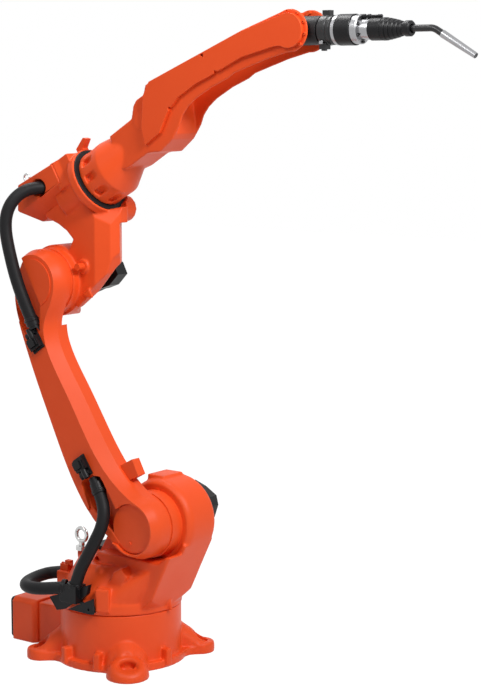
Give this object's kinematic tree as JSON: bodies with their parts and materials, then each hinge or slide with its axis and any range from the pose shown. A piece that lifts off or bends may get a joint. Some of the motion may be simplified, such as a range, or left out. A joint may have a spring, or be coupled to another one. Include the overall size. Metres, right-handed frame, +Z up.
{
  "type": "industrial welding robot arm",
  "caption": "Floor-mounted articulated robot arm with a turning base, swinging lower arm, elbow, forked forearm, hollow wrist and arc-welding torch.",
  "frame": {"origin": "on the floor, at the centre of the base's bolted foot, under the waist axis", "axes": "+Z up along the waist axis, +X forwards, the way the arm reaches; the lower arm is on the -Y side"},
  "size_m": [1.5574, 0.4612, 1.887],
  "materials": {
    "orange_paint": "semi-gloss orange-red",
    "dark_plate": "satin dark grey",
    "motor_black": "satin black",
    "hose_rubber": "satin black",
    "black_plastic": "matt",
    "bright_eye": "bright",
    "black_metal": "satin black",
    "bare_aluminium": "turned"
  },
  "bodies": {
    "base": {"base_casting": "orange_paint", "connector_box": "orange_paint", "connector_panel": "dark_plate"},
    "turret": {"turret_casting": "orange_paint", "shoulder_reducer": "orange_paint", "shoulder_motor": "motor_black", "waist_motor": "motor_black", "turret_lifting_eye": "bright_eye", "hose_bracket_lower": "dark_plate", "hose_bracket_upper": "dark_plate", "hose_clamp": "black_plastic", "hose_loop": "hose_rubber"},
    "lower_arm": {"lower_arm_casting": "orange_paint", "shoulder_cover": "orange_paint", "elbow_cover": "orange_paint", "lower_hose_connector": "black_plastic", "upper_hose_connector": "black_plastic", "lower_hose_fitting": "black_plastic", "upper_hose_fitting": "black_plastic", "arm_stop_block": "orange_paint", "lower_hose": "hose_rubber", "upper_hose": "hose_rubber"},
    "elbow": {"elbow_casting": "orange_paint", "elbow_reducer": "orange_paint", "elbow_motor": "motor_black", "elbow_motor_plug": "black_plastic", "roll_motor_housing": "orange_paint", "elbow_lifting_eye": "bright_eye", "elbow_stop_pin": "orange_paint", "roll_stop": "orange_paint"},
    "forearm": {"forearm_casting": "orange_paint", "roll_seal": "hose_rubber", "near_side_cover": "orange_paint", "far_side_cover": "orange_paint", "side_plug": "orange_paint"},
    "wrist": {"wrist_housing": "motor_black"},
    "torch": {"tool_clamp": "black_metal", "tool_collar": "bare_aluminium", "torch_isolator": "black_plastic", "torch_flange": "bare_aluminium", "torch_socket": "bare_aluminium", "gas_tube": "bare_aluminium", "cable_boot": "hose_rubber", "torch_neck": "black_metal", "torch_nozzle": "bare_aluminium"}
  },
  "joints": [
    {"name": "waist_turn", "type": "hinge", "parent": "base", "child": "turret", "pos_m": [0, 0, 0.166], "axis": [0, 0, 1], "range_deg": [-167, 167]},
    {"name": "shoulder_swing", "type": "hinge", "parent": "turret", "child": "lower_arm", "pos_m": [0.165, 0, 0.432], "axis": [0, 1, 0], "range_deg": [-40, 115], "deforming": ["lower_hose"]},
    {"name": "elbow_swing", "type": "hinge", "parent": "lower_arm", "child": "elbow", "pos_m": [-0.20003, 0, 1.11565], "axis": [0, -1, 0], "range_deg": [-75, 120], "deforming": ["upper_hose"]},
    {"name": "forearm_roll", "type": "hinge", "parent": "elbow", "child": "forearm", "pos_m": [-0.29578, 0, 1.27976], "axis": [0.8637, 0, 0.5039], "range_deg": [-170, 170]},
    {"name": "wrist_bend", "type": "hinge", "parent": "forearm", "child": "wrist", "pos_m": [0.64743, 0, 1.83005], "axis": [0, -1, 0], "range_deg": [-85, 145]},
    {"name": "torch_turn", "type": "hinge", "parent": "wrist", "child": "torch", "pos_m": [0.64743, 0, 1.83005], "axis": [1, 0, 0], "range_deg": [-200, 200]}
  ]
}
